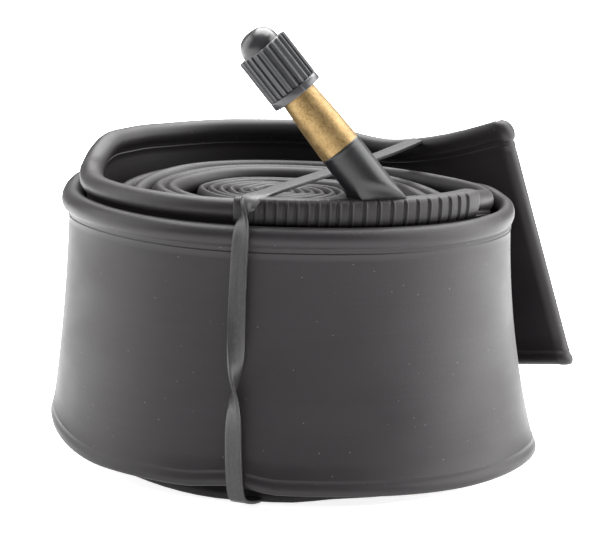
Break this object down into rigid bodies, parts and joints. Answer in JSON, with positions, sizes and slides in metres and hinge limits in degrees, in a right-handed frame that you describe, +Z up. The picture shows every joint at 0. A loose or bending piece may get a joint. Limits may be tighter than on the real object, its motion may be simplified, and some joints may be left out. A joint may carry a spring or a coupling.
{
  "type": "bicycle inner tube",
  "caption": "Deflated bicycle inner tube with an auto valve, folded double, rolled into a coil and held by a flat rubber band.",
  "frame": {"origin": "under the middle of the coil, on the surface it stands on", "axes": "+Z up, +X towards the side that the outer fold points to, valve on the -Y side"},
  "size_m": [0.1095, 0.1018, 0.0918],
  "materials": {
    "butyl": "matt cured butyl with fine streaks and dust",
    "butyl_patch": "matt moulded rubber with vent ribs",
    "moulded_rubber": "smooth glossy moulded rubber",
    "brass": "fine blasted matt brass",
    "soft_rubber": "soft black seal rubber",
    "spring_steel": "drawn steel wire",
    "cap_plastic": "satin black moulded plastic",
    "band_rubber": "dull dark grey rubber"
  },
  "bodies": {
    "roll": {"tube": "butyl", "valve_patch": "butyl_patch", "stem_jacket": "moulded_rubber", "valve_stem": "brass", "core_plug": "brass", "core_packing": "soft_rubber", "core_barrel": "brass", "core_spring": "spring_steel", "rubber_band": "band_rubber"},
    "cap_lifter": {"cap_seal": "soft_rubber"},
    "cap": {"valve_cap": "cap_plastic"},
    "core_valve": {"core_pin": "brass", "core_cup": "brass", "core_seal": "soft_rubber"}
  },
  "joints": [
    {"name": "cap_lift", "type": "slide", "parent": "roll", "child": "cap_lifter", "axis": [-0.6414, 0, 0.7672], "range_m": [0, 0.0127]},
    {"name": "cap_turn", "type": "hinge", "parent": "cap_lifter", "child": "cap", "pos_m": [-0.00084, -0.03596, 0.08181], "axis": [-0.6414, 0, 0.7672], "range_deg": [0, 5760]},
    {"name": "pin_press", "type": "slide", "parent": "roll", "child": "core_valve", "axis": [-0.6414, 0, 0.7672], "range_m": [-0.0015, 0], "stiffness_N_per_m": 900, "springref_m": 0.0003, "deforming": ["core_spring"]}
  ],
  "couplings": [
    {"joint": "cap_turn", "follows": "cap_lift", "rad_per_m": 7913.3}
  ]
}
